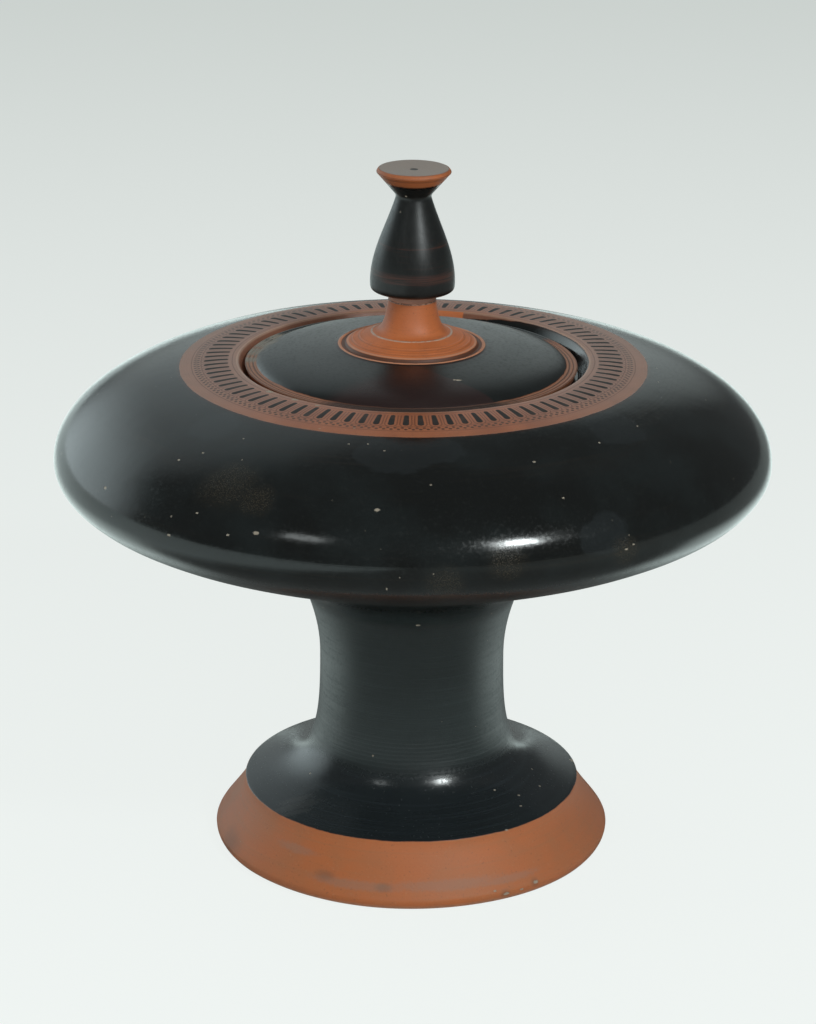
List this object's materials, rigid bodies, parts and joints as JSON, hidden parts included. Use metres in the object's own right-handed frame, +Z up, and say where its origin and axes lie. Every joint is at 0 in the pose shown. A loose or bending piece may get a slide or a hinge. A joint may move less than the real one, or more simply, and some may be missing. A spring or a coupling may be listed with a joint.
{
  "type": "plemochoe",
  "caption": "Footed clay bowl for perfumed oil, with a flattened body, an incurving mouth and a loose lid with a tall knob.",
  "frame": {"origin": "centre of the foot, on the ground it stands on", "axes": "+Z up along the axis the pot was thrown on; -Y towards the viewer, +X to the viewer's right"},
  "size_m": [0.24, 0.24, 0.2355],
  "materials": {
    "vessel_gloss": "black gloss slip on fired orange clay; the shoulder band and the foot's band stay bare clay",
    "lid_gloss": "black gloss slip on fired orange clay; the rim, the boss, the knob's stem and the cap's top stay bare clay"
  },
  "bodies": {
    "root": {"vessel": "vessel_gloss", "lid": "lid_gloss"}
  },
  "joints": []
}
